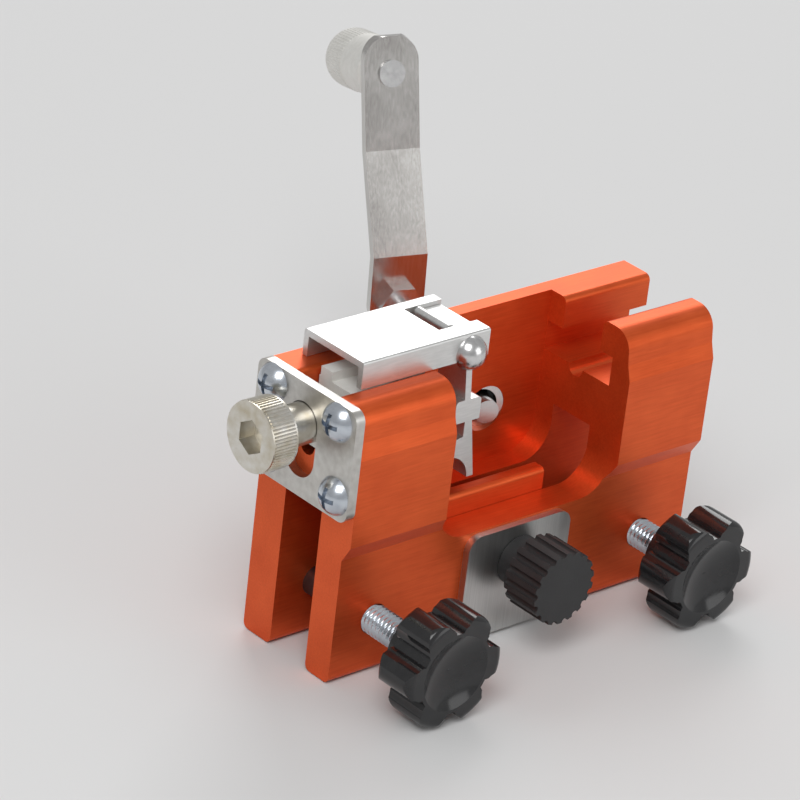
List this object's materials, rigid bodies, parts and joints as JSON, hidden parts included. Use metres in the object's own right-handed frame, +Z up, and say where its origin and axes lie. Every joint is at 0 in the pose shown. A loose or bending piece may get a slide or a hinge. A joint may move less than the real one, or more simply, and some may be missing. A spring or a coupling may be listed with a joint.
{
  "type": "manual chainsaw sharpener",
  "caption": "Hand-crank chain sharpening jig: slotted orange body with clamp knobs, a sliding carriage with a pawl, and a slanted crank that turns a burr.",
  "frame": {"origin": "midway along the body, on the guide bar's mid plane, at the leg ends", "axes": "+X along the guide bar, +Y towards the crank, +Z up"},
  "size_m": [0.102, 0.123, 0.0852],
  "materials": {
    "orange": "anodised satin",
    "silver": "satin",
    "steel": "brushed",
    "zinc": "bright zinc",
    "dark": "blackened",
    "nylon": "smooth",
    "bronze": "sintered",
    "gloss_black": "gloss",
    "matte_black": "matt"
  },
  "bodies": {
    "body": {"body": "orange", "end_plate": "steel", "end_plate_screws": "zinc", "t_nut": "steel", "back_stop_screws": "dark", "guide_tube": "steel"},
    "carriage": {"slide_block": "nylon", "carriage_channel": "silver", "pawl_pin": "zinc"},
    "adjuster": {"adjuster_screw": "zinc", "adjuster_clip": "dark"},
    "pawl": {"pawl": "silver"},
    "left_stud": {"left_stud": "zinc"},
    "left_knob": {"left_knob": "gloss_black"},
    "right_stud": {"right_stud": "zinc"},
    "right_knob": {"right_knob": "gloss_black"},
    "rest": {"outer_plate": "steel", "rest_pad": "orange"},
    "centre_knob": {"centre_knob": "matte_black", "centre_stud": "zinc"},
    "bush": {"shaft_bush": "bronze"},
    "crank": {"drive_shaft": "steel", "shaft_clip": "dark", "burr": "steel", "burr_set_screw": "dark", "crank_nut": "zinc", "crank_arm": "steel", "grip_bolt": "zinc"},
    "grip": {"grip_knob": "silver"}
  },
  "joints": [
    {"name": "carriage_slide", "type": "slide", "parent": "body", "child": "carriage", "axis": [1, 0, 0], "range_m": [-0.002, 0.005]},
    {"name": "adjuster_turn", "type": "hinge", "parent": "carriage", "child": "adjuster", "pos_m": [-0.044, 0.0004, 0.0486], "axis": [1, 0, 0], "range_deg": [-576.1, 1440.1]},
    {"name": "pawl_swing", "type": "hinge", "parent": "carriage", "child": "pawl", "pos_m": [-0.0125, 0, 0.0574], "axis": [0, 1, 0], "range_deg": [-35, 0]},
    {"name": "left_stud_slide", "type": "slide", "parent": "body", "child": "left_stud", "axis": [0, 1, 0], "range_m": [-0.008, 0.003]},
    {"name": "left_knob_turn", "type": "hinge", "parent": "left_stud", "child": "left_knob", "pos_m": [-0.0344, -0.025, 0.011], "axis": [0, 1, 0], "range_deg": [-2880.1, 1080.1]},
    {"name": "right_stud_slide", "type": "slide", "parent": "body", "child": "right_stud", "axis": [0, 1, 0], "range_m": [-0.008, 0.003]},
    {"name": "right_knob_turn", "type": "hinge", "parent": "right_stud", "child": "right_knob", "pos_m": [0.0326, -0.025, 0.011], "axis": [0, 1, 0], "range_deg": [-2880.1, 1080.1]},
    {"name": "rest_slide", "type": "slide", "parent": "body", "child": "rest", "axis": [0, 0, 1], "range_m": [-0.004, 0.0015]},
    {"name": "centre_knob_turn", "type": "hinge", "parent": "rest", "child": "centre_knob", "pos_m": [-0.0009, -0.02, 0.015], "axis": [0, 1, 0], "range_deg": [-360, 0]},
    {"name": "feed_slide", "type": "slide", "parent": "body", "child": "bush", "axis": [-0.342, -0.9397, 0], "range_m": [-0.003, 0.014]},
    {"name": "crank_turn", "type": "hinge", "parent": "bush", "child": "crank", "pos_m": [0.0082, 0.00975, 0.034], "axis": [0.342, 0.9397, 0], "continuous": true},
    {"name": "grip_spin", "type": "hinge", "parent": "crank", "child": "grip", "pos_m": [0.02702, 0.06593, 0.07795], "axis": [0.3398, 0.9089, -0.2418], "continuous": true}
  ],
  "couplings": [
    {"joint": "adjuster_turn", "follows": "carriage_slide", "rad_per_m": 5026.5},
    {"joint": "left_knob_turn", "follows": "left_stud_slide", "rad_per_m": 6283.2},
    {"joint": "right_knob_turn", "follows": "right_stud_slide", "rad_per_m": 6283.2}
  ]
}
